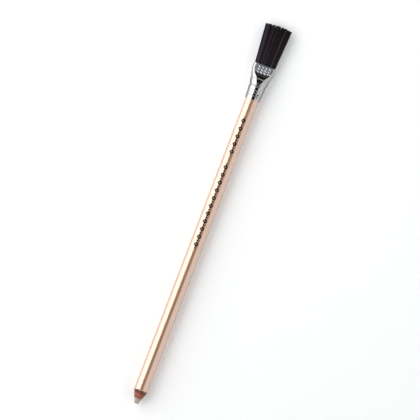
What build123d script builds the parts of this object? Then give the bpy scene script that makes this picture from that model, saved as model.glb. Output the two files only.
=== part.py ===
from build123d import *
import os
from math import cos, pi, radians, sin, sqrt, tan

# Wood-cased eraser pencil with a flat brush crimped on its other end.
# Millimetres. The pencil lies on its side: X runs from the eraser point to the
# brush, Z is up, and the flat of the brush faces up. The origin is under the
# middle of the whole length, on the surface that the ferrule rests on.

# Barrel: two grooved slats glued round the eraser core, under a lacquer coat
barrel_diameter = 7.4
lacquer_thickness = 0.18
pencil_length = 177.2
core_diameter = 4.1
end_chamfer = 0.3

# Sharpened point
point_length = 7.4
tip_diameter = 2.2
tip_round = 0.4

# Ferrule: a tinplate tube, round over the pencil and pressed flat at the brush
ferrule_length = 18.9
ferrule_wall = 0.25
seat_depth = 7.8
seat_taper = 0.03
neck_place = 7.85
neck_diameter = 8.8
neck_flat = 0.04
shoulder_place = 8.7
shoulder_width = 9.3
shoulder_height = 8.9
crease_place = 11.3
crease_width = 9.95
crease_height = 7.4
mouth_width = 12.0
mouth_height = 3.4
mouth_run = 3.4
bore_facets = 9

# Rolled grooves of the round seat, and the prick marks that pin it
groove_places = [2.1, 3.6, 5.0]
groove_depth = 0.12
groove_width = 0.7
waist_place = 7.3
waist_depth = 0.25
waist_width = 1.1
prick_diameter = 0.5
prick_place = 3.0
prick_offset = 1.9
faint_prick_place = 1.75
faint_prick_offset = 1.65
faint_prick_depth = 0.12

# Clamped flats above and below the brush, with their oblique raised dashes
clamp_thickness = 3.3
clamp_length = 4.8
clamp_width = 11.2
clamp_corner = 2.6
clamp_ramp_angle = 42.0
dash_rows = 3
dash_columns = 4
dash_row_pitch = 1.4
dash_column_pitch = 1.95
dash_margin = 1.4
dash_length = 1.5
dash_width = 0.55
dash_height = 0.12
dash_draft = 25.0
dash_angle = 56.0

# Brush: locks of bristles side by side, rooted in the resin that fills the ferrule
tuft_length = 21.9
root_depth = 3.0
mouth_recess = 0.5
lock_shares = [0.26, 0.11, 0.19, 0.12, 0.14, 0.18]
bristle_pitch = 0.25
bristle_row_pitch = 0.28
bristle_root_radius = 0.115
bristle_tip_radius = 0.085
bristle_sides = 3
bristle_bite = 0.4
flare_left = 2.45
flare_right = 1.6
tuft_tip_thickness = 3.7
crown_drop = 0.75
crown_offset = -0.65
length_scatter = 0.55
scatter_swing = 43.7
scatter_column_turn = 12.9
scatter_row_turn = 78.2
lock_gather = 0.16

# Clearances
glue_line = 0.03
lacquer_bond = 0.01
seat_clearance = 0.02
resin_clearance = 0.02
lock_clearance = 0.04

# Places that follow from the sizes above
visible_length = pencil_length - seat_depth
overall_length = visible_length + ferrule_length + tuft_length
tip_x = -overall_length / 2
pencil_end_x = tip_x + pencil_length
ferrule_x = tip_x + visible_length
mouth_x = ferrule_x + ferrule_length
root_x = mouth_x - mouth_recess
axis_height = shoulder_height / 2
casing_radius = barrel_diameter / 2 - lacquer_thickness
core_radius = core_diameter / 2
seat_radius = barrel_diameter / 2 + seat_clearance + ferrule_wall
point_slope = (barrel_diameter - tip_diameter) / 2 / point_length

pencil_axis = Axis((0, 0, axis_height), (1, 0, 0))
side_plane = Plane(origin=(0, 0, axis_height), x_dir=(1, 0, 0), z_dir=(0, -1, 0))
middle_plane = Plane(origin=(0, 0, axis_height), x_dir=(1, 0, 0), z_dir=(0, 0, 1))


def section_plane(place):
    """Plane across the pencil at this distance along X."""
    return Plane(origin=(place, 0, axis_height), x_dir=(0, 1, 0), z_dir=(1, 0, 0))


def point_place(radius):
    """Distance along X where the sharpened cone has this radius."""
    return tip_x + (radius - tip_diameter / 2) / point_slope


def seat_outer(place):
    """Outer radius of the round seat at this distance from its lower end."""
    return seat_radius + (neck_diameter / 2 - seat_radius) * place / neck_place


def seat_outline():
    """Section of the round seat: the bent sheet with its V-rolled grooves.

    The outer line runs towards the neck, and the inner one back. The three small
    grooves are pressed into the sheet; the waist bends the whole of it.
    """
    outer = [(0, seat_outer(0))]
    for place in groove_places:
        outer.append((place - groove_width / 2, seat_outer(place - groove_width / 2)))
        outer.append((place, seat_outer(place) - groove_depth))
        outer.append((place + groove_width / 2, seat_outer(place + groove_width / 2)))
    waist = [
        (waist_place - waist_width / 2, seat_outer(waist_place - waist_width / 2)),
        (waist_place, seat_outer(waist_place) - waist_depth),
        (neck_place, seat_outer(neck_place)),
    ]
    inner = [(place, radius - ferrule_wall) for place, radius in reversed(outer[:1] + waist)]
    return [(ferrule_x + place, radius) for place, radius in outer + waist + inner]


def keep(piece, name):
    """Label a finished piece and write it."""
    piece.part.label = name
    export_step(piece.part, f"parts/{name}.step")


os.makedirs("parts", exist_ok=True)

# Eraser core, sharpened and worn round at its tip
with BuildPart() as eraser_core:
    with BuildSketch(side_plane) as core_section:
        with BuildLine():
            Polyline(
                (tip_x, 0),
                (tip_x, tip_diameter / 2),
                (point_place(core_radius), core_radius),
                (pencil_end_x, core_radius),
                (pencil_end_x, 0),
                close=True,
            )
        make_face()
        tip_corner = core_section.vertices().sort_by(Axis.X)[0:2].sort_by(Axis.Z)[-1]
        fillet(tip_corner, tip_round)
    revolve(axis=pencil_axis)
keep(eraser_core, "eraser_core")

# Casing, turned and sharpened as one, then parted into its two slats
with BuildPart() as casing:
    bore_radius = core_radius + glue_line
    with BuildSketch(side_plane):
        with BuildLine():
            Polyline(
                (point_place(bore_radius), bore_radius),
                (point_place(casing_radius), casing_radius),
                (pencil_end_x - end_chamfer, casing_radius),
                (pencil_end_x, casing_radius - end_chamfer),
                (pencil_end_x, bore_radius),
                close=True,
            )
        make_face()
    revolve(axis=pencil_axis)

with BuildPart() as upper_slat:
    add(casing.part)
    split(bisect_by=middle_plane.offset(glue_line / 2), keep=Keep.TOP)
keep(upper_slat, "casing_slat_upper")

with BuildPart() as lower_slat:
    add(casing.part)
    split(bisect_by=middle_plane.offset(-glue_line / 2), keep=Keep.BOTTOM)
keep(lower_slat, "casing_slat_lower")

# Lacquer coat, cut back along the cone by the sharpener, and eased in the ferrule
with BuildPart() as lacquer_coat:
    coat_bore = casing_radius + lacquer_bond
    coat_radius = barrel_diameter / 2
    with BuildSketch(side_plane):
        with BuildLine():
            Polyline(
                (point_place(coat_bore), coat_bore),
                (point_place(coat_radius), coat_radius),
                (ferrule_x, coat_radius),
                (pencil_end_x - end_chamfer, coat_radius - seat_taper),
                (pencil_end_x - end_chamfer, coat_bore),
                close=True,
            )
        make_face()
    revolve(axis=pencil_axis)
keep(lacquer_coat, "lacquer_coat")


def clamp_die(inset):
    """Solid above the upper flat: what the pressing die takes from the flare."""
    shift = inset * tan(radians(clamp_ramp_angle) / 2)
    reach = clamp_length + 2 * clamp_corner
    with BuildPart() as die:
        with BuildSketch(middle_plane.offset(clamp_thickness / 2 - inset)):
            with Locations((mouth_x - clamp_length + reach / 2, 0)):
                RectangleRounded(
                    reach + 2 * shift, clamp_width + 2 * shift, clamp_corner + shift
                )
        extrude(amount=shoulder_height / 2, taper=clamp_ramp_angle - 90)
    return die.part


def faceted_slot(width, height):
    """Corners of a slot with faceted ends, from its middle."""
    radius = height / 2
    turns = [pi * step / bore_facets - pi / 2 for step in range(bore_facets + 1)]
    right = [((width - height) / 2 + radius * cos(a), radius * sin(a)) for a in turns]
    return right + [(-across, -up) for across, up in right]


def flare_sections():
    """Places along the flare, each with the width and height of its outside there."""
    return [
        (ferrule_x + neck_place, neck_diameter + neck_flat, neck_diameter),
        (ferrule_x + shoulder_place, shoulder_width, shoulder_height),
        (ferrule_x + crease_place, crease_width, crease_height),
        (mouth_x - mouth_run, mouth_width, mouth_height),
        (mouth_x, mouth_width, mouth_height),
    ]


def flare():
    """Outside of the ferrule from its neck to its mouth."""
    sections = flare_sections()
    with BuildPart() as form:
        for start, end in zip(sections, sections[1:]):
            with BuildSketch(section_plane(start[0])):
                SlotOverall(*start[1:])
            with BuildSketch(section_plane(end[0])):
                SlotOverall(*end[1:])
            loft()
        add(clamp_die(0), mode=Mode.SUBTRACT)
        add(clamp_die(0).mirror(middle_plane), mode=Mode.SUBTRACT)
    return form.part


def flare_inside(inset):
    """Space inside the flare, this much in from its outside, with flat facets."""
    rings = []
    for place, width, height in flare_sections():
        corners = faceted_slot(width - 2 * inset, height - 2 * inset)
        plane = section_plane(place)
        rings.append([plane.from_local_coords((*corner, 0)) for corner in corners])
    with BuildPart() as form:
        for start, end in zip(rings, rings[1:]):
            ConvexPolyhedron(start + end)
        add(clamp_die(inset), mode=Mode.SUBTRACT)
        add(clamp_die(inset).mirror(middle_plane), mode=Mode.SUBTRACT)
    return form.part


# Ferrule: round seat with rolled grooves, turned in section as the bent sheet that
# it is, then the flare that is pressed flat over the brush
ferrule_outside = flare()
ferrule_bore = flare_inside(ferrule_wall)
under_plane = Plane(origin=middle_plane.origin, x_dir=(1, 0, 0), z_dir=(0, 0, -1))

with BuildPart() as ferrule:
    with BuildSketch(side_plane):
        with BuildLine():
            Polyline(*seat_outline(), close=True)
        make_face()
    revolve(axis=pencil_axis)
    add(ferrule_outside)
    add(ferrule_bore, mode=Mode.SUBTRACT)
    # Two prick marks on the upper face: one through the sheet, one only dented
    with BuildSketch(middle_plane):
        with Locations((ferrule_x + prick_place, -prick_offset)):
            Circle(prick_diameter / 2)
    extrude(amount=shoulder_height, mode=Mode.SUBTRACT)
    dent_floor = sqrt(seat_outer(faint_prick_place) ** 2 - faint_prick_offset ** 2)
    with BuildSketch(middle_plane.offset(dent_floor - faint_prick_depth)):
        with Locations((ferrule_x + faint_prick_place, -faint_prick_offset)):
            Circle(prick_diameter / 2)
    extrude(amount=shoulder_height, mode=Mode.SUBTRACT)
    # Raised dashes of the clamping die, on both flats
    dashes_x = mouth_x - dash_margin - (dash_rows - 1) * dash_row_pitch / 2
    for flat in (middle_plane, under_plane):
        with BuildSketch(flat.offset(clamp_thickness / 2 - ferrule_wall / 2)):
            with Locations((dashes_x, 0)):
                with GridLocations(dash_row_pitch, dash_column_pitch, dash_rows, dash_columns):
                    Polygon(
                        (-dash_length / 2, 0),
                        (dash_width / 2 - dash_length / 2, -dash_width / 2),
                        (dash_length / 2 - dash_width / 2, -dash_width / 2),
                        (dash_length / 2, 0),
                        (dash_length / 2 - dash_width / 2, dash_width / 2),
                        (dash_width / 2 - dash_length / 2, dash_width / 2),
                        rotation=dash_angle,
                    )
        extrude(amount=ferrule_wall / 2 + dash_height, taper=dash_draft)
keep(ferrule, "ferrule")

# Resin that fills the ferrule from the pencil's end to the roots of the brush
resin_form = flare_inside(ferrule_wall + resin_clearance)
plug_top = mouth_x - root_depth

with BuildPart() as bristle_setting:
    add(resin_form)
    split(bisect_by=section_plane(plug_top), keep=Keep.BOTTOM)
keep(bristle_setting, "bristle_setting")

# Bristle locks
tuft_half_width = mouth_width / 2 - ferrule_wall - resin_clearance
tuft_half_height = clamp_thickness / 2 - ferrule_wall - resin_clearance


def scatter(column, row):
    """Uneven fraction from 0 to 1 for the bristle at this column and row."""
    wave = scatter_swing * sin(scatter_column_turn * column + scatter_row_turn * row)
    return wave % 1


def bristle_roots():
    """Root places across the mouth, in staggered rows, clear of the ferrule."""
    margin = bristle_root_radius + resin_clearance
    end_centre = (mouth_width - mouth_height) / 2
    end_radius = tuft_half_width - end_centre
    rows = int((tuft_half_height - margin) / bristle_row_pitch)
    columns = int(tuft_half_width / bristle_pitch) + 1
    roots = []
    for row in range(-rows, rows + 1):
        for column in range(-columns, columns + 1):
            across = (column + 0.5 * (row % 2)) * bristle_pitch
            up = row * bristle_row_pitch
            past_centre = max(abs(across) - end_centre, 0)
            if sqrt(past_centre ** 2 + up ** 2) + margin < end_radius:
                roots.append((across, up, column, row))
    return roots


def lock_bounds():
    """Edges of the locks across the mouth, from the -Y side to the +Y side."""
    edges = [-tuft_half_width]
    for share in reversed(lock_shares):
        edges.append(edges[-1] + 2 * tuft_half_width * share / sum(lock_shares))
    return edges


def bristle_tip(across, up, column, row, lock_middle):
    """Where the bristle from this root ends, as a distance past its root."""
    spread = flare_left if across > 0 else flare_right
    flared = across + spread * across / tuft_half_width
    gathered = flared + (lock_middle - across) * lock_gather
    thickened = up * tuft_tip_thickness / 2 / tuft_half_height
    crown = crown_drop * ((across - crown_offset) / tuft_half_width) ** 2
    length = mouth_recess + tuft_length - crown - length_scatter * scatter(column, row)
    share = length / (mouth_recess + tuft_length)
    return length, across + (gathered - across) * share, up + (thickened - up) * share


def bristle(across, up, column, row, lock_middle):
    """One bristle: a slim three-sided spike from inside the resin to its tip."""
    length, tip_across, tip_up = bristle_tip(across, up, column, row, lock_middle)
    with BuildPart(mode=Mode.PRIVATE) as spike:
        with BuildSketch(section_plane(root_x - bristle_bite)):
            with Locations((across, up)):
                RegularPolygon(bristle_root_radius, bristle_sides)
        with BuildSketch(section_plane(root_x + length)):
            with Locations((tip_across, tip_up)):
                RegularPolygon(bristle_tip_radius, bristle_sides)
        loft()
    return spike.part


edges = lock_bounds()
lock_edge = bristle_root_radius + lock_clearance
roots = bristle_roots()
for number, (start, end) in enumerate(zip(edges, edges[1:]), start=1):
    middle = (start + end) / 2
    own = [root for root in roots if start + lock_edge < root[0] < end - lock_edge]
    print(f"lock {number}: {len(own)} bristles")
    bristles = [bristle(*root, middle) for root in own]
    with BuildPart() as lock:
        add(resin_form)
        with Locations(((plug_top + root_x) / 2, middle, axis_height)):
            Box(
                root_x - plug_top - 2 * resin_clearance,
                end - start - lock_clearance,
                shoulder_height,
                mode=Mode.INTERSECT,
            )
        add(bristles)
    keep(lock, f"bristle_lock_{number}")
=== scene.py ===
"""Wood-cased eraser pencil with a flat brush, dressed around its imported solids.

X runs from the eraser point to the brush, Z is up, and the pencil lies on the floor at
Z = 0. Lengths are in metres. The ferrule and the brush are worked out in millimetres,
and turned into metres where their points are made.
"""

import math
import random

import bpy
import numpy as np
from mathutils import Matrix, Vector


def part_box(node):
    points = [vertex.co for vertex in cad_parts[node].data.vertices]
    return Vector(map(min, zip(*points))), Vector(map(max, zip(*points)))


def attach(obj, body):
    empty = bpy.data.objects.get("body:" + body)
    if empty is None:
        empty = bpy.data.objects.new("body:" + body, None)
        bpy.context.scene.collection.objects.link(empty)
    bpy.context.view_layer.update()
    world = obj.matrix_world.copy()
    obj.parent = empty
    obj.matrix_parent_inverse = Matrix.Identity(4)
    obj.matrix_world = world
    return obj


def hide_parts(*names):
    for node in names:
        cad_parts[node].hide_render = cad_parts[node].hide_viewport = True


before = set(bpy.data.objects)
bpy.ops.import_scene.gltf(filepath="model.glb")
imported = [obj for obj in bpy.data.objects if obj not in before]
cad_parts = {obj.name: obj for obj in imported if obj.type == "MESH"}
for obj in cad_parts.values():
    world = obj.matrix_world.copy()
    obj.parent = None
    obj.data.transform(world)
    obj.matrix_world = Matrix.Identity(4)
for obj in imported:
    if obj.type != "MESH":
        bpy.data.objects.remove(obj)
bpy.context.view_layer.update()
MM = 0.001

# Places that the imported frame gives
core_low, core_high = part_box("eraser_core")
coat_low, coat_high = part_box("lacquer_coat")
ferrule_low, ferrule_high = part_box("ferrule")
TIP_X = core_low.x
PENCIL_END_X = core_high.x
CORE_R = (core_high.y - core_low.y) / 2
BARREL_R = (coat_high.y - coat_low.y) / 2
AXIS_Z = (coat_high.z + coat_low.z) / 2
FERRULE_X = ferrule_low.x
MOUTH_X = ferrule_high.x

# Sizes that the frame's boxes don't give
POINT_LENGTH = 7.4 * MM
TIP_R = 1.1 * MM
LACQUER = 0.18 * MM
BOND = 0.01 * MM
GLUE = 0.03 * MM
POINT_SLOPE = (BARREL_R - TIP_R) / POINT_LENGTH


def cone_x(radius):
    """Distance along X where the sharpened cone has this radius."""
    return TIP_X + (radius - TIP_R) / POINT_SLOPE


# Ferrule, in mm. Places along it, whose names end in D, run from its lower end
WALL = 0.25
WALL_AND_GAP = 0.27
LENGTH_D = (MOUTH_X - FERRULE_X) / MM
SEAT_R = BARREL_R / MM + WALL_AND_GAP
NECK_D = 7.85
NECK_R = 4.4
SHOULDER_D = 8.7
SHOULDER_W = 9.3
SHOULDER_H = (ferrule_high.z - ferrule_low.z) / MM
CREASE_D = 11.3
CREASE_W = 9.95
CREASE_H = 7.4
MOUTH_W = (ferrule_high.y - ferrule_low.y) / MM
MOUTH_H = 3.4
MOUTH_RUN = 3.4

# Place, width and height of each section of the flare
SECTIONS = (
    (NECK_D, 2 * NECK_R, 2 * NECK_R),
    (SHOULDER_D, SHOULDER_W, SHOULDER_H),
    (CREASE_D, CREASE_W, CREASE_H),
    (LENGTH_D - MOUTH_RUN, MOUTH_W, MOUTH_H),
    (LENGTH_D, MOUTH_W, MOUTH_H),
)

# Place, depth and width of the three rolled grooves, the waist and the crease
GROOVES = (
    (2.1, 0.13, 0.50),
    (3.6, 0.13, 0.50),
    (5.0, 0.13, 0.50),
    (7.3, 0.25, 1.1),
    (CREASE_D, 0.16, 0.55),
)

# Place, side, radius and depth of the two prick marks
PRICKS = ((3.0, -1.9, 0.45, 0.40), (1.75, -1.65, 0.36, 0.22))
# Prick dents deeper than this get painted shade at their bottoms
PIT_SHADE_DEPTH = 0.04

# Flats that the clamping die presses, with their oblique raised dashes
CLAMP_HALF = 1.65
CLAMP_START_D = LENGTH_D - 4.55
CLAMP_W = 10.2
CLAMP_CORNER = 3.1
CLAMP_RAMP = math.tan(math.radians(39))
CLAMP_BLEND = 0.12
DASH_ROWS = 3
DASH_COLUMNS = 4
DASH_LAST_D = LENGTH_D - 1.4
DASH_ROW_PITCH = 1.4
DASH_COLUMN_PITCH = 1.92
DASH_SHIFT = 0.35
DASH_ANGLE = math.radians(52)
DASH_HALF_LENGTH = 0.88
DASH_HALF_WIDTH = 0.27
DASH_HEIGHT = 0.17

# What the ferrule's attribute says: 0 is plain sheet, and a dash's top is 1. Its marks
# place painted shade in deep prick dents and on the flats, and painted highlights on the
# dash tops
PIT_SHADE_MARK = 0.2
FLAT_MARK = 0.5


def add_object(name, data):
    """A new object in the scene that holds this mesh, lamp or camera."""
    thing = bpy.data.objects.new(name, data)
    bpy.context.scene.collection.objects.link(thing)
    return thing


# ---------------------------------------------------------------- camera
PHOTO_PIXELS = 420
PIXELS_PER_MM = 1.92
PENCIL_ANGLE = math.radians(69.04)
CENTRE_X = TIP_X + 107.85 * MM
CENTRE_Y = -0.044 * MM
CAMERA_HEIGHT = 0.6

camera_data = bpy.data.cameras.new("camera")
camera_data.type = "ORTHO"
camera_data.ortho_scale = PHOTO_PIXELS / PIXELS_PER_MM * MM
camera_data.clip_start = 0.01
camera_data.clip_end = 20
camera = add_object("camera", camera_data)
camera.location = (CENTRE_X, CENTRE_Y, CAMERA_HEIGHT)
camera.rotation_euler = (0, 0, -PENCIL_ANGLE)
bpy.context.scene.camera = camera
bpy.context.scene.view_settings.view_transform = "Standard"


# ---------------------------------------------------------------- node helpers
class Shader:
    """A node material with short ways to add and join nodes."""

    def __init__(self, name):
        self.material = bpy.data.materials.new(name)
        self.material.use_nodes = True
        self.nodes = self.material.node_tree.nodes
        self.links = self.material.node_tree.links
        self.nodes.clear()
        self.out = self.nodes.new("ShaderNodeOutputMaterial")
        self.bsdf = self.nodes.new("ShaderNodeBsdfPrincipled")
        self.join(self.bsdf.outputs[0], self.out.inputs["Surface"])
        self.place = self.nodes.new("ShaderNodeTexCoord").outputs["Object"]

    def join(self, source, target):
        """Links an output to an input."""
        self.links.new(source, target)

    def put(self, value, target):
        """Sets a socket to a plain value, or joins another socket to it."""
        if isinstance(value, bpy.types.NodeSocket):
            self.join(value, target)
        elif hasattr(target.default_value, "__len__") and len(target.default_value) == 4:
            target.default_value = (*value, 1) if len(value) == 3 else value
        else:
            target.default_value = value

    def stretched(self, scale, turn=(0, 0, 0)):
        """Places on the object, scaled along each axis."""
        node = self.nodes.new("ShaderNodeMapping")
        self.join(self.place, node.inputs["Vector"])
        node.inputs["Scale"].default_value = scale
        node.inputs["Rotation"].default_value = turn
        return node.outputs[0]

    def noise(self, vector, scale=1.0, detail=3.0, rough=0.5, twist=0.0):
        """Cloudy noise, from 0 to 1."""
        node = self.nodes.new("ShaderNodeTexNoise")
        self.join(vector, node.inputs["Vector"])
        node.inputs["Scale"].default_value = scale
        node.inputs["Detail"].default_value = detail
        node.inputs["Roughness"].default_value = rough
        node.inputs["Distortion"].default_value = twist
        return node.outputs["Fac"]

    def cells(self, vector, scale=1.0):
        """Distance to the middle of the nearest of many scattered cells."""
        node = self.nodes.new("ShaderNodeTexVoronoi")
        self.join(vector, node.inputs["Vector"])
        node.inputs["Scale"].default_value = scale
        return node.outputs["Distance"]

    def ramp(self, source, *stops):
        """Colours by value: stops are (place, (r, g, b)) or (place, grey)."""
        node = self.nodes.new("ShaderNodeValToRGB")
        self.join(source, node.inputs[0])
        elements = node.color_ramp.elements
        while len(elements) < len(stops):
            elements.new(0.5)
        for element, (place, value) in zip(elements, stops):
            element.position = place
            colour = (value, value, value) if isinstance(value, (int, float)) else value
            element.color = (*colour, 1)
        return node.outputs[0]

    def math(self, kind, first, second=0.0, third=0.0):
        """One sum on plain values or outputs."""
        node = self.nodes.new("ShaderNodeMath")
        node.operation = kind
        for value, socket in zip((first, second, third), node.inputs):
            self.put(value, socket)
        return node.outputs[0]

    def mix(self, factor, first, second, kind="MIX"):
        """Two colours mixed or multiplied by a factor."""
        node = self.nodes.new("ShaderNodeMix")
        node.data_type = "RGBA"
        node.blend_type = kind
        self.put(factor, node.inputs["Factor"])
        self.put(first, node.inputs[6])
        self.put(second, node.inputs[7])
        return node.outputs[2]

    def axes(self):
        """X, Y and Z of the place on the object, in metres."""
        node = self.nodes.new("ShaderNodeSeparateXYZ")
        self.join(self.place, node.inputs[0])
        return node.outputs[0], node.outputs[1], node.outputs[2]

    def bump(self, height, distance, strength):
        """Normal of a surface with this fine relief."""
        node = self.nodes.new("ShaderNodeBump")
        node.inputs["Strength"].default_value = strength
        node.inputs["Distance"].default_value = distance
        self.join(height, node.inputs["Height"])
        return node.outputs[0]

    def attribute(self, name):
        """Value that the mesh gives at each of its points."""
        node = self.nodes.new("ShaderNodeAttribute")
        node.attribute_name = name
        return node.outputs["Fac"]

    def set(self, **values):
        """Sets the shader's sockets, with _ for the spaces in their names."""
        for name, value in values.items():
            self.put(value, self.bsdf.inputs[name.replace("_", " ")])


# ---------------------------------------------------------------- materials
def lacquer_material():
    """Pearl rose-gold lacquer under a clear gloss, with a printed band of lozenges."""
    m = Shader("pearl_lacquer")
    flakes = m.noise(m.stretched((1, 1, 1)), scale=9000, detail=1)
    clouds = m.noise(m.stretched((30, 120, 120)), detail=3)
    pearl = m.ramp(clouds, (0.3, (0.66, 0.365, 0.215)), (0.7, (0.73, 0.415, 0.255)))
    speck = m.ramp(flakes, (0.35, 0.94), (0.65, 1.0))
    body = m.mix(1.0, pearl, speck, "MULTIPLY")
    x, y, z = m.axes()
    on_top = m.math("GREATER_THAN", z, AXIS_Z)
    ink = ornament(m, x, y)
    chips = m.noise(m.stretched((900, 1300, 1300)), detail=4, rough=0.7)
    wear = m.ramp(chips, (0.30, 0.80), (0.38, 1.0))
    ink = m.math("MULTIPLY", m.math("MULTIPLY", ink, on_top), wear)
    body = m.mix(ink, body, INK)
    scratch = m.noise(m.stretched((60, 1500, 1500)), detail=5, rough=0.62)
    peel = m.noise(m.stretched((90, 420, 420)), detail=2)
    height = m.math("ADD", m.math("MULTIPLY", peel, 0.75),
                    m.math("MULTIPLY", scratch, 0.25))
    m.set(
        Base_Color=body,
        Metallic=m.math("MULTIPLY", m.math("SUBTRACT", 1.0, ink), 0.35),
        Roughness=m.ramp(scratch, (0.35, 0.24), (0.7, 0.32)),
        Normal=m.bump(height, 0.02 * MM, 0.12),
        Specular_IOR_Level=0.0,
        Specular_Tint=(0.0, 0.0, 0.0),
        Coat_Weight=m.math("SUBTRACT", 1.0, m.math("MULTIPLY", ink, 0.85)),
        Coat_Roughness=0.07,
        Coat_IOR=3.3,
    )
    return m.material


# Printed band: a plain run of hollow lozenges between dots. One lozenge is left out.
# Half lengths and half heights are in mm
BAND_START = FERRULE_X - 83.0 * MM
BAND_END = FERRULE_X - 9.8 * MM
BAND_MIDDLE = 0.35 * MM
BAND_PITCH = 4.3 * MM
LEFT_OUT = 11
LOZENGE = (1.65, 1.30)
HOLLOW = (0.46, 0.38)
DOT = (0.42, 0.55)
INK = (0.012, 0.009, 0.008)


def ornament(m, x, y):
    """1 where the printed band has ink: hollow lozenges, with a dot between each pair."""
    along = m.math("SUBTRACT", x, BAND_START)
    count = round((BAND_END - BAND_START) / BAND_PITCH)
    step = (BAND_END - BAND_START) / count
    phase = m.math("SUBTRACT", m.math("FRACT", m.math("DIVIDE", along, step)), 0.5)
    run = m.math("ABSOLUTE", m.math("MULTIPLY", phase, step))
    rise = m.math("ABSOLUTE", m.math("SUBTRACT", y, BAND_MIDDLE))

    def diamond(half_length, half_height, kind):
        reach = m.math("ADD", m.math("DIVIDE", run, half_length * MM),
                       m.math("DIVIDE", rise, half_height * MM))
        return m.math(kind, reach, 1.0)

    lozenge = m.math("MULTIPLY", diamond(*LOZENGE, "LESS_THAN"),
                     diamond(*HOLLOW, "GREATER_THAN"))
    far = m.math("DIVIDE", m.math("SUBTRACT", step / 2, run), DOT[0] * MM)
    tall = m.math("DIVIDE", rise, DOT[1] * MM)
    dot = m.math("LESS_THAN", m.math("ADD", m.math("MULTIPLY", far, far),
                                     m.math("MULTIPLY", tall, tall)), 1.0)
    inside = m.math("MULTIPLY", m.math("GREATER_THAN", along, 0.0),
                    m.math("LESS_THAN", x, BAND_END))
    number = m.math("FLOOR", m.math("DIVIDE", along, step))
    gap = m.math("COMPARE", number, LEFT_OUT, 0.5)
    inside = m.math("MULTIPLY", inside, m.math("SUBTRACT", 1.0, gap))
    return m.math("MULTIPLY", m.math("MAXIMUM", lozenge, dot), inside)


def wood_material():
    """Bare red-brown pencil wood, with grain along the pencil and knife marks across."""
    m = Shader("casing_wood")
    grain = m.noise(m.stretched((120, 1500, 1500)), detail=5, rough=0.6, twist=0.4)
    pores = m.noise(m.stretched((260, 4200, 4200)), detail=3, rough=0.6)
    patches = m.noise(m.stretched((420, 420, 420)), detail=3)
    tone = m.ramp(
        grain,
        (0.30, (0.17, 0.045, 0.026)),
        (0.50, (0.38, 0.120, 0.072)),
        (0.70, (0.56, 0.215, 0.135)),
    )
    dark = m.ramp(pores, (0.36, 0.55), (0.50, 1.0))
    dust = m.ramp(patches, (0.35, 0.80), (0.65, 1.12))
    tone = m.mix(1.0, m.mix(1.0, tone, dark, "MULTIPLY"), dust, "MULTIPLY")
    # The wood is darkened in blotches from next to the core towards the lacquer's edge
    x, _, _ = m.axes()
    blot = m.noise(m.stretched((900, 1400, 1400)), detail=3, rough=0.7)
    near = m.math("DIVIDE", m.math("SUBTRACT", x, cone_x(CORE_R) + 1.6 * MM), 2.0 * MM)
    near = m.math("ADD", near, m.math("MULTIPLY", m.math("SUBTRACT", blot, 0.5), 1.6))
    tone = m.mix(1.0, tone, m.ramp(near, (0.2, 1.0), (0.95, 0.50)), "MULTIPLY")
    rings = m.noise(m.stretched((5200, 160, 160)), detail=2)
    height = m.math("ADD", m.math("MULTIPLY", pores, 0.6), m.math("MULTIPLY", rings, 0.4))
    m.set(
        Base_Color=tone,
        Roughness=m.ramp(grain, (0.3, 0.52), (0.7, 0.68)),
        Normal=m.bump(height, 0.06 * MM, 0.6),
        IOR=1.45,
    )
    return m.material


def rubber_material():
    """Matt warm-grey eraser rubber with fine abrasive specks and rubbed smudges."""
    m = Shader("eraser_rubber")
    grit = m.cells(m.stretched((1, 1, 1)), scale=5200)
    smudge = m.noise(m.stretched((520, 700, 700)), detail=4, rough=0.6)
    tone = m.ramp(smudge, (0.30, (0.40, 0.345, 0.300)), (0.70, (0.56, 0.490, 0.435)))
    specks = m.ramp(grit, (0.05, 0.80), (0.25, 1.0))
    tone = m.mix(1.0, tone, specks, "MULTIPLY")
    # The rubber is a little darker towards the tip
    x, _, _ = m.axes()
    rubbed = m.math("SUBTRACT", x, TIP_X)
    tip_darkening = m.ramp(m.math("DIVIDE", rubbed, 1.2 * MM), (0.0, 0.72), (0.8, 1.0))
    tone = m.mix(1.0, tone, tip_darkening, "MULTIPLY")
    grain = m.noise(m.stretched((1, 1, 1)), scale=3800, detail=4, rough=0.7)
    m.set(
        Base_Color=tone,
        Roughness=m.ramp(smudge, (0.3, 0.82), (0.7, 0.94)),
        Normal=m.bump(grain, 0.05 * MM, 0.7),
        IOR=1.48,
    )
    return m.material


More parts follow.
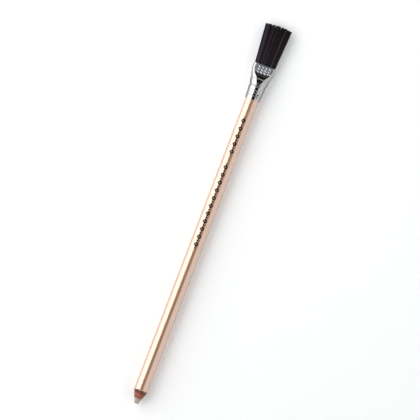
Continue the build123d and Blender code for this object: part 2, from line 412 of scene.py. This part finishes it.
def nickel_material():
    """Bright nickel plating, slightly tarnished. Its flats are rougher and darkened with
    painted shade, the dash tops are painted near-white as painted highlights, and deep
    prick dents are painted near-black as painted shade.
    """
    m = Shader("nickel_plate")
    rub = m.noise(m.stretched((2600, 240, 240)), detail=4, rough=0.6)
    haze = m.noise(m.stretched((300, 300, 300)), detail=4, rough=0.6)
    tool_marks_and_painted_light = m.attribute("tool_marks_and_painted_light")
    flat = m.math("GREATER_THAN", tool_marks_and_painted_light, FLAT_MARK - 0.1)
    pit_shade = m.math("COMPARE", tool_marks_and_painted_light, PIT_SHADE_MARK, 0.1)
    bright = m.ramp(haze, (0.30, (0.45, 0.45, 0.455)), (0.65, (0.51, 0.505, 0.50)))
    # The flats' own bluish grey, darkened as painted shade
    flat_tone_and_shade = m.ramp(haze, (0.30, (0.17, 0.183, 0.21)), (0.65, (0.26, 0.278, 0.31)))
    # Dash tops are painted near-white as painted highlights
    rubbed = m.math("GREATER_THAN", tool_marks_and_painted_light, 0.66)
    flat_shade_and_highlight = m.mix(rubbed, flat_tone_and_shade, (0.93, 0.95, 0.97))
    knurl = m.cells(m.stretched((2300, 2300, 2300), turn=(0, 0, 0.6)))
    waves = m.noise(m.stretched((420, 620, 620)), detail=2)
    height = m.math("ADD", m.math("MULTIPLY", waves, 0.85), m.math("MULTIPLY", rub, 0.15))
    height = m.math("ADD", height, m.math("MULTIPLY", m.math("MULTIPLY", knurl, flat), 2.2))
    smooth = m.ramp(haze, (0.35, 0.08), (0.75, 0.15))
    # Base colour: plain nickel, flats with painted shade, dash tops with painted
    # highlights, prick dents painted near-black as painted shade
    m.set(
        Base_Color=m.mix(pit_shade, m.mix(flat, bright, flat_shade_and_highlight), (0.02, 0.02, 0.02)),
        Metallic=1.0,
        Roughness=m.mix(flat, smooth, (0.36, 0.36, 0.36)),
        Normal=m.bump(height, 0.05 * MM, 0.35),
        Specular_Tint=(0.0, 0.0, 0.0),
    )
    return m.material


def resin_material():
    """Hardened dark resin that holds the brush."""
    m = Shader("setting_resin")
    swirl = m.noise(m.stretched((600, 600, 600)), detail=4, twist=0.6)
    m.set(
        Base_Color=m.ramp(swirl, (0.3, (0.10, 0.07, 0.045)), (0.7, (0.26, 0.20, 0.14))),
        Roughness=m.ramp(swirl, (0.3, 0.25), (0.7, 0.45)),
        Normal=m.bump(swirl, 0.04 * MM, 0.5),
        Coat_Weight=0.3,
    )
    return m.material


def bristle_material():
    """Near-black stiff bristle, whose faint warm tone varies by strand, at random and with
    painted shade at each lock's edges.
    """
    m = Shader("bristles")
    fine = m.noise(m.stretched((900, 5200, 5200)), detail=3)
    tone = m.ramp(
        m.attribute("strand"),
        (0.0, (0.0030, 0.0018, 0.0028)),
        (0.42, (0.0225, 0.0130, 0.0205)),
        (0.85, (0.140, 0.095, 0.125)),
    )
    tone = m.mix(1.0, tone, m.ramp(fine, (0.3, 0.75), (0.7, 1.2)), "MULTIPLY")
    m.set(
        Base_Color=tone,
        Roughness=m.ramp(fine, (0.3, 0.40), (0.7, 0.55)),
        Specular_IOR_Level=0.25,
        Normal=m.bump(fine, 0.01 * MM, 0.3),
    )
    return m.material


FLOOR_LIFT = 0.11


def floor_material():
    """Studio floor. Camera, mirror and glass rays see it white, and other rays pale."""
    m = Shader("studio_floor")
    rays = m.nodes.new("ShaderNodeLightPath")
    seen = m.math("MAXIMUM", rays.outputs["Is Camera Ray"], rays.outputs["Is Glossy Ray"])
    seen = m.math("MAXIMUM", seen, rays.outputs["Is Transmission Ray"])
    paper = m.noise(m.stretched((40, 40, 40)), detail=3)
    pale = m.ramp(paper, (0.2, 0.79), (0.8, 0.81))
    white = m.ramp(paper, (0.2, (0.975, 0.985, 0.995)), (0.8, (0.985, 0.995, 1.0)))
    m.set(
        Base_Color=m.mix(seen, pale, white),
        Roughness=1.0,
        Specular_IOR_Level=0.0,
        Emission_Color=(1.0, 1.0, 1.0),
        Emission_Strength=m.math("MULTIPLY", seen, FLOOR_LIFT),
    )
    return m.material


# ---------------------------------------------------------------- mesh helpers
def new_piece(name, points, faces, material, node):
    """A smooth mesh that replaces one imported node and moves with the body."""
    mesh = bpy.data.meshes.new(name)
    mesh.from_pydata([tuple(map(float, p)) for p in points], [], faces)
    mesh.update()
    mesh.shade_smooth()
    mesh.materials.append(material)
    piece = add_object(name, mesh)
    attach(piece, "root")
    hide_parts(node)
    return piece


def rounded(points, radius, steps=4):
    """A closed outline in (x, r) with each corner rounded by about this radius."""
    outline = []
    count = len(points)
    for index, corner in enumerate(points):
        before = np.array(points[index - 1]) - corner
        after = np.array(points[(index + 1) % count]) - corner
        reach_before = min(radius, np.linalg.norm(before) * 0.45)
        reach_after = min(radius, np.linalg.norm(after) * 0.45)
        start = np.array(corner) + before / np.linalg.norm(before) * reach_before
        end = np.array(corner) + after / np.linalg.norm(after) * reach_after
        for step in range(steps + 1):
            t = step / steps
            outline.append(
                (1 - t) ** 2 * start + 2 * t * (1 - t) * np.array(corner) + t ** 2 * end
            )
    return outline


def divided(points, longest):
    """The same closed outline with long edges cut into shorter ones."""
    result = []
    for index, start in enumerate(points):
        end = points[(index + 1) % len(points)]
        pieces = max(1, math.ceil(np.linalg.norm(np.array(end) - start) / longest))
        for step in range(pieces):
            result.append(np.array(start) + (np.array(end) - start) * step / pieces)
    return result


def turned(outline, segments, shape, start=0.0, sweep=2 * math.pi):
    """Points and faces of a closed (x, r) outline turned round the pencil's axis.

    The shape function moves each point a little, by its place and angle.
    """
    whole = abs(sweep - 2 * math.pi) < 1e-6
    turns = segments if whole else segments + 1
    points = []
    for turn in range(turns):
        angle = start + sweep * turn / segments
        for x, r in outline:
            x, r = shape(x, r, angle)
            points.append((x, r * math.cos(angle), AXIS_Z + r * math.sin(angle)))
    count = len(outline)
    faces = []
    for turn in range(segments):
        here = turn * count
        there = ((turn + 1) % turns) * count
        for index in range(count):
            following = (index + 1) % count
            faces.append(
                (here + index, there + index, there + following, here + following)
            )
    if not whole:
        faces.append(tuple(range(count)))
        faces.append(tuple(reversed(range(segments * count, (segments + 1) * count))))
    return points, faces


# Count round the pencil, size and phase of each wave
random.seed(7)
waves = [
    (count, random.uniform(0.4, 1.0) / count ** 0.6, random.uniform(0, 6.28))
    for count in range(2, 15)
]


def ragged(angle):
    """A small uneven wave round the pencil, from about -1 to 1."""
    return sum(size * math.sin(count * angle + phase) for count, size, phase in waves) / 2.5


# ---------------------------------------------------------------- barrel and point
lacquer = lacquer_material()
wood = wood_material()
rubber = rubber_material()
nickel = nickel_material()
resin = resin_material()
bristles = bristle_material()

coat_bore = BARREL_R - LACQUER + BOND
coat_outline = rounded(
    [
        np.array((cone_x(coat_bore), coat_bore)),
        np.array((cone_x(BARREL_R), BARREL_R)),
        np.array((coat_high.x, BARREL_R)),
        np.array((coat_high.x, coat_bore)),
    ],
    0.05 * MM,
)


def cut_edge(x, r, angle):
    """The knife leaves the lacquer's edge slightly wavy."""
    near = max(0.0, 1 - (x - cone_x(coat_bore)) / (1.5 * MM))
    return x + 0.10 * MM * near * ragged(angle) + 0.10 * MM * near, r


points, faces = turned(divided(coat_outline, 6 * MM), 160, cut_edge)
new_piece("barrel_lacquer", points, faces, lacquer, "lacquer_coat")

slat_bore = CORE_R + GLUE
slat_r = BARREL_R - LACQUER
slat_outline = rounded(
    [
        np.array((cone_x(slat_bore), slat_bore)),
        np.array((cone_x(slat_r), slat_r)),
        np.array((PENCIL_END_X - 0.3 * MM, slat_r)),
        np.array((PENCIL_END_X, slat_r - 0.3 * MM)),
        np.array((PENCIL_END_X, slat_bore)),
    ],
    0.06 * MM,
)
slat_outline = divided(slat_outline, 5 * MM)


def whittled(x, r, angle):
    """Faint knife facets on the cone."""
    near = 1.0 if x < cone_x(slat_r) else 0.0
    return x, r - 0.02 * MM * near * (1 + ragged(angle)) * 0.5


for name, node, start in (
    ("slat_upper", "casing_slat_upper", 0.0),
    ("slat_lower", "casing_slat_lower", math.pi),
):
    gap = GLUE / 2 / slat_r
    points, faces = turned(slat_outline, 72, whittled, start + gap, math.pi - 2 * gap)
    new_piece(name, points, faces, wood, node)

core_outline = rounded(
    [
        np.array((TIP_X + 0.04 * MM, 0.02 * MM)),
        np.array((TIP_X, TIP_R * 0.70)),
        np.array((TIP_X + 0.14 * MM, TIP_R * 0.98)),
        np.array((cone_x(CORE_R), CORE_R)),
        np.array((PENCIL_END_X, CORE_R)),
        np.array((PENCIL_END_X, 0.02 * MM)),
    ],
    0.3 * MM,
    6,
)


def worn(x, r, angle):
    """Use has rubbed the tip slightly out of round."""
    near = max(0.0, 1 - (x - TIP_X) / (3 * MM))
    rubbed = x + 0.02 * MM * near * (1 + ragged(angle + 1))
    return rubbed, r * (1 + 0.02 * near * ragged(angle) - 0.02 * near)


points, faces = turned(divided(core_outline, 4 * MM), 96, worn)
new_piece("core_rubber", points, faces, rubber, "eraser_core")


# ---------------------------------------------------------------- ferrule
def soft_min(a, b, width):
    """Smaller of two values, blended where they are close."""
    h = np.clip(0.5 + 0.5 * (b - a) / width, 0, 1)
    return b + (a - b) * h - width * h * (1 - h)


def groove(d, place, depth, width):
    """Rounded roll groove, as a drop in radius."""
    t = np.clip(np.abs(d - place) / (width / 2), 0, 1)
    return depth * 0.5 * (1 + np.cos(math.pi * t))


def ferrule_section(d):
    """Width, height and groove depth of the ferrule's outside at this place, in mm."""
    if d <= NECK_D:
        width = height = 2 * (SEAT_R + (NECK_R - SEAT_R) * d / NECK_D)
    else:
        for start, end in zip(SECTIONS, SECTIONS[1:]):
            if d <= end[0]:
                t = (d - start[0]) / (end[0] - start[0])
                width = start[1] + (end[1] - start[1]) * t
                height = start[2] + (end[2] - start[2]) * t
                break
    drop = sum(groove(d, *sizes) for sizes in GROOVES)
    return width, height, drop


def slot_point(width, height, turn):
    """Point on a slot outline. Turn runs from 0 to 1, evenly along each quarter."""
    radius = height / 2
    half_flat = max(width - height, 0) / 2
    quarter = int(turn * 4 + 1e-9) % 4
    share = turn * 4 - quarter
    if quarter % 2:
        share = 1 - share
    arc = radius * math.pi / 2
    run = share * (arc + half_flat)
    if run < arc:
        angle = run / radius
        y, z = half_flat + radius * math.cos(angle), radius * math.sin(angle)
    else:
        y, z = half_flat - (run - arc), radius
    return (y if quarter in (0, 3) else -y), (z if quarter in (0, 1) else -z)


def pressed(d, y, z):
    """Height of the skin once the clamping die has pressed it, and if it is flat there."""
    reach_x = CLAMP_START_D + CLAMP_CORNER - d
    reach_y = abs(y) - (CLAMP_W / 2 - CLAMP_CORNER)
    outside = math.hypot(max(reach_x, 0), max(reach_y, 0)) - CLAMP_CORNER
    outside += min(max(reach_x, reach_y), 0)
    limit = CLAMP_HALF + max(outside, 0) * CLAMP_RAMP
    height = soft_min(abs(z), limit, CLAMP_BLEND)
    return math.copysign(height, z), outside <= 0.02 and abs(z) > limit - 0.05


def dash_share(d, y):
    """Raised oblique dashes on the pressed flats, as a share of their full height."""
    best = 0.0
    for row in range(DASH_ROWS):
        for column in range(DASH_COLUMNS):
            dx = d - (DASH_LAST_D - DASH_ROW_PITCH * row)
            dy = y + DASH_SHIFT - (column - (DASH_COLUMNS - 1) / 2) * DASH_COLUMN_PITCH
            run = dx * math.cos(DASH_ANGLE) + dy * math.sin(DASH_ANGLE)
            rise = -dx * math.sin(DASH_ANGLE) + dy * math.cos(DASH_ANGLE)
            t = (run / DASH_HALF_LENGTH) ** 2 + (rise / DASH_HALF_WIDTH) ** 2
            if t < 1:
                best = max(best, (1 - t) ** 0.8)
    return best


def prick(d, y, place, side, radius, depth):
    """Depth of a prick mark's dent at this point of the upper side, in mm."""
    away = math.hypot(d - place, y - side) / radius
    return depth * (1 - away * away) if away < 1 else 0.0


FERRULE_AROUND = 288
STATION_STEP = 0.07
LIP = 0.06


def outer_skin():
    """Rings of the sheet's outside, and the tool mark at each of their points, by which the
    nickel paints shade and highlights.
    """
    stations = []
    d = 0.0
    while d < LENGTH_D - 1e-6:
        stations.append(d)
        d += STATION_STEP
    stations.append(LENGTH_D)
    rings = []
    marks = []
    for d in stations:
        width, height, drop = ferrule_section(d)
        ring = []
        for step in range(FERRULE_AROUND):
            y, z = slot_point(width - 2 * drop, height - 2 * drop, step / FERRULE_AROUND)
            mark = 0.0
            stamped = False
            if d > NECK_D:
                z, stamped = pressed(d, y, z)
            if stamped:
                share = dash_share(d, y)
                z += math.copysign(DASH_HEIGHT * share, z)
                # A flat is marked for painted shade, and a dash's top for a painted
                # highlight
                mark = FLAT_MARK + (1 - FLAT_MARK) * share
            if z > 0:
                dent = sum(prick(d, y, *sizes) for sizes in PRICKS)
                z -= dent
                # A deep prick dent's bottom is marked for painted shade, painted near-black
                if dent > PIT_SHADE_DEPTH:
                    mark = PIT_SHADE_MARK
            ring.append((d, y, z))
            marks.append(mark)
        rings.append(ring)
    return np.array(rings), marks


def ferrule_mesh():
    """Points, faces and tool marks of the sheet: two skins joined at both lips."""
    outer, marks = outer_skin()
    inner = outer.copy()
    radial = outer[:, :, 1:]
    normal = np.roll(radial, -1, axis=1) - np.roll(radial, 1, axis=1)
    normal = np.stack([normal[:, :, 1], -normal[:, :, 0]], axis=2)
    normal /= np.linalg.norm(normal, axis=2, keepdims=True)
    inner[:, :, 1:] -= normal * WALL
    lip = (LIP, 0, 0)
    rings = [outer[0] * 0.5 + inner[0] * 0.5, outer[0] + lip, *outer[1:-1], outer[-1] - lip]
    rings += [outer[-1] * 0.5 + inner[-1] * 0.5, inner[-1] - lip]
    # The inner skin is hidden, so it has a quarter of the rings
    rings += [*inner[3:-3:4][::-1], inner[0] + lip]
    points = []
    for ring in rings:
        for d, y, z in ring:
            points.append((FERRULE_X + d * MM, y * MM, AXIS_Z + z * MM))
    faces = []
    for index in range(len(rings)):
        here = index * FERRULE_AROUND
        there = (index + 1) % len(rings) * FERRULE_AROUND
        for step in range(FERRULE_AROUND):
            beside = (step + 1) % FERRULE_AROUND
            faces.append((here + step, there + step, there + beside, here + beside))
    # Only the outer skin has marks, and one ring lies before it
    marks = [0.0] * FERRULE_AROUND + marks
    marks += [0.0] * (len(points) - len(marks))
    return points, faces, marks


points, faces, marks = ferrule_mesh()
sheet = new_piece("ferrule_sheet", points, faces, nickel, "ferrule")
# Tool marks, by which the nickel paints shade and highlights
tool_marks_and_painted_light = sheet.data.attributes.new("tool_marks_and_painted_light", "FLOAT", "POINT")
tool_marks_and_painted_light.data.foreach_set("value", marks)

# The resin keeps its own solid
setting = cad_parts["bristle_setting"]
setting.data.materials.clear()
setting.data.materials.append(resin)


# ---------------------------------------------------------------- brush
# All in mm. The locks' shares of the width run from the -Y side to the +Y side
LOCK_SHARES = (0.18, 0.14, 0.12, 0.19, 0.11, 0.26)
TUFT_LENGTH = 21.88
ROOT_DEPTH = 2.9
TUFT_HALF_W = MOUTH_W / 2 - WALL_AND_GAP
TUFT_HALF_H = CLAMP_HALF - WALL_AND_GAP
FLARE_LEFT = 2.25
FLARE_RIGHT = 1.42
TIP_LOW_Y = -6.82
TIP_HIGH_Y = 7.60
TIP_HALF_H = 1.85
CROWN_DROP = 0.75
CROWN_PLACE = -0.65
STRAND_PITCH = 0.17
STRAND_R = 0.075
STRAND_SIDES = 4
STRAND_PARTS = 8

# A clump's width, and how far each layer of clumps is set off. FAR keeps counts positive
CLUMP_W = 0.62
CLUMP_OFFSET = 0.37
FAR = 20

# Towards its edges and surface a lock gathers, sinks and shortens, and its edge strands are
# darkened as painted shade
GATHER = 0.40
CLUMP_GATHER = 0.10
SINK = 0.95
CLUMP_SHORT = 0.80
EDGE_SHORT = 0.85

# Uneven tips, lengths, bows and roots
TIP_SCATTER = 0.07
LENGTH_SCATTER = 0.09
BOW = 0.05
ROOT_SCATTER = 0.04


def clump_of(y, z):
    """Neighbouring bristles cling together, so a clump shares its length and shade."""
    layer = 0 if z > 0.35 else 1 if z > -0.5 else 2
    place = (y + FAR + CLUMP_OFFSET * layer) / CLUMP_W
    index = int(place)
    rng = random.Random(7000 + 31 * index + layer)
    inside = (place - index) * 2 - 1
    return rng.random(), rng.random(), inside


def strand(root_y, root_z, start, end, rng):
    """Centre line of one bristle, in mm (d past the mouth, y, z), and its tone, darkened at
    the lock's edges as painted shade.
    """
    across = root_y / TUFT_HALF_W
    tip_y = root_y + (FLARE_LEFT if across > 0 else FLARE_RIGHT) * across
    short, shade, inside = clump_of(root_y, root_z)
    surface = max(0.0, abs(root_z) / TUFT_HALF_H - 0.3)
    lock_place = (root_y - start) / (end - start) * 2 - 1
    edge = abs(lock_place) ** 4
    tip_y -= GATHER * surface * lock_place * abs(lock_place)
    tip_y -= CLUMP_GATHER * surface * inside
    tip_y += rng.gauss(0, TIP_SCATTER)
    tip_y = max(TIP_LOW_Y, min(TIP_HIGH_Y, tip_y))
    sink = SINK * surface * edge
    tip_z = (root_z - math.copysign(sink, root_z)) * TIP_HALF_H / TUFT_HALF_H
    tip_z += rng.gauss(0, TIP_SCATTER)
    crown = CROWN_DROP * ((root_y - CROWN_PLACE) / TUFT_HALF_W) ** 2
    inner = 0.2 if abs(root_y) > TUFT_HALF_W - 0.6 else 1.0
    shorter = inner * (CLUMP_SHORT * short ** 3 + EDGE_SHORT * edge ** 2)
    length = TUFT_LENGTH - crown - shorter
    length -= abs(rng.gauss(0, LENGTH_SCATTER))
    bow_y = rng.gauss(0, BOW)
    bow_z = rng.gauss(0, BOW)
    line = []
    for step in range(STRAND_PARTS + 1):
        t = step / STRAND_PARTS
        d = -ROOT_DEPTH + (length + ROOT_DEPTH) * t
        free = max(0.0, d / length)
        bend = math.sin(math.pi * free)
        y = root_y + (tip_y - root_y) * free ** 1.1 + bow_y * bend
        z = root_z + (tip_z - root_z) * free ** 1.3 + bow_z * bend
        line.append((d, y, z))
    tone = 0.62 * shade ** 1.5 + 0.38 * rng.random() ** 2
    # Edge strands are darkened: painted shade in the partings between locks
    return line, tone * (1 - 0.75 * edge)


def lock_mesh(start, end, rng):
    """Points, faces and shade of each point for one lock of four-sided bristles."""
    points = []
    faces = []
    shades = []
    radius = TUFT_HALF_H
    flat = TUFT_HALF_W - radius
    rows = int(2 * TUFT_HALF_H / STRAND_PITCH)
    y = start + STRAND_PITCH * 0.3
    column = 0
    while y < end - STRAND_PITCH * 0.1:
        for row in range(rows + 1):
            root_y = y + rng.uniform(-ROOT_SCATTER, ROOT_SCATTER)
            root_z = -TUFT_HALF_H + (row + 0.5 * (column % 2)) * STRAND_PITCH
            root_z += rng.uniform(-ROOT_SCATTER, ROOT_SCATTER)
            past = max(abs(root_y) - flat, 0)
            if math.hypot(past, root_z) + STRAND_R > radius:
                continue
            line, shade = strand(root_y, root_z, start, end, rng)
            turn = rng.uniform(0, math.pi)
            base = len(points)
            for index, (d, sy, sz) in enumerate(line):
                r = STRAND_R * (1.0 - 0.28 * index / STRAND_PARTS)
                for side in range(STRAND_SIDES):
                    angle = turn + side * math.pi / 2
                    points.append((
                        MOUTH_X + d * MM,
                        (sy + r * math.cos(angle)) * MM,
                        AXIS_Z + (sz + r * math.sin(angle)) * MM,
                    ))
            for index in range(STRAND_PARTS):
                here = base + index * STRAND_SIDES
                there = here + STRAND_SIDES
                for side in range(STRAND_SIDES):
                    beside = (side + 1) % STRAND_SIDES
                    faces.append((here + side, here + beside, there + beside, there + side))
            faces.append(tuple(reversed(range(base, base + STRAND_SIDES))))
            faces.append(tuple(range(len(points) - STRAND_SIDES, len(points))))
            shades += [shade] * (len(points) - base)
        y += STRAND_PITCH * 0.87
        column += 1
    return points, faces, shades


lock_start = -TUFT_HALF_W
for number, share in enumerate(LOCK_SHARES, start=1):
    lock_end = lock_start + 2 * TUFT_HALF_W * share
    points, faces, shades = lock_mesh(lock_start, lock_end, random.Random(100 + number))
    piece = new_piece(f"brush_lock_{number}", points, faces, bristles,
                      f"bristle_lock_{number}")
    strand_shade = piece.data.attributes.new("strand", "FLOAT", "POINT")
    strand_shade.data.foreach_set("value", shades)
    lock_start = lock_end


# ---------------------------------------------------------------- stage and light
FLOOR_HALF = 6
floor_mesh = bpy.data.meshes.new("floor")
floor_mesh.from_pydata(
    [(side_x * FLOOR_HALF, side_y * FLOOR_HALF, 0)
     for side_x, side_y in ((-1, -1), (1, -1), (1, 1), (-1, 1))],
    [],
    [(0, 1, 2, 3)],
)
floor_mesh.materials.append(floor_material())
add_object("floor", floor_mesh)

# Name, side, degrees from straight up, distance, width, length, plain level, and how
# far the lamp is moved towards the brush
LAMPS = (
    ("key_high", (0, 1), 36.5, 0.7, 0.42, 1.6, 2.15, 0.25),
    ("key_low", (0, 1), 70, 0.7, 0.452, 1.6, 1.95, 0.25),
    ("fill_high", (0, -1), 40, 0.7, 0.30, 1.6, 0.90, 0.25),
    ("fill_low", (0, -1), 66, 0.7, 0.40, 1.6, 0.88, 0.25),
    ("tail", (-1, 0), 45, 0.8, 0.60, 0.9, 0.28, 0.0),
    ("top_brush", (1, 0), 17, 0.8, 0.20, 0.5, 2.0, 0.0),
    ("top_point", (-1, 0), 20, 0.8, 0.20, 0.5, 0.45, 0.0),
)


def softbox(name, side, degrees, distance, width, length, level, shift):
    """Area lamp that shines at the middle of the pencil, or beside it by the shift."""
    data = bpy.data.lights.new(name, "AREA")
    data.shape = "RECTANGLE"
    data.size = length
    data.size_y = width
    data.energy = level * math.pi * length * width
    lamp = add_object(name, data)
    tilt = math.radians(degrees)
    side_x, side_y = side
    centre = np.array((
        math.sin(tilt) * side_x * distance,
        math.sin(tilt) * side_y * distance,
        math.cos(tilt) * distance,
    ))
    back = centre / np.linalg.norm(centre)
    across = np.array((side_y, -side_x, 0.0))
    matrix = np.identity(4)
    matrix[:3, 0] = across
    matrix[:3, 1] = np.cross(back, across)
    matrix[:3, 2] = back
    matrix[:3, 3] = centre + (shift, 0.0, 0.0)
    lamp.matrix_world = [list(row) for row in matrix.T]
    lamp.visible_camera = False


for lamp_values in LAMPS:
    softbox(*lamp_values)

# Heights of a direction: 0 is level, and 1 is straight up
HORIZON_TOP = 0.13
DARK_FROM = 0.17
OVERHEAD = 0.015


def plain_backdrop():
    """World that is white round the horizon and dark overhead, for every ray alike."""
    world = bpy.data.worlds.new("studio")
    bpy.context.scene.world = world
    world.use_nodes = True
    nodes = world.node_tree.nodes
    links = world.node_tree.links
    nodes.clear()
    out = nodes.new("ShaderNodeOutputWorld")
    direction = nodes.new("ShaderNodeTexCoord")
    axes = nodes.new("ShaderNodeSeparateXYZ")
    fall = nodes.new("ShaderNodeMapRange")
    fall.interpolation_type = "SMOOTHSTEP"
    fall.inputs["From Min"].default_value = HORIZON_TOP
    fall.inputs["From Max"].default_value = DARK_FROM
    fall.inputs["To Min"].default_value = 1.0
    fall.inputs["To Max"].default_value = OVERHEAD
    backdrop = nodes.new("ShaderNodeBackground")
    backdrop.inputs["Color"].default_value = (1, 1, 1, 1)
    links.new(direction.outputs["Generated"], axes.inputs[0])
    links.new(axes.outputs["Z"], fall.inputs["Value"])
    links.new(fall.outputs["Result"], backdrop.inputs["Strength"])
    links.new(backdrop.outputs[0], out.inputs["Surface"])


plain_backdrop()
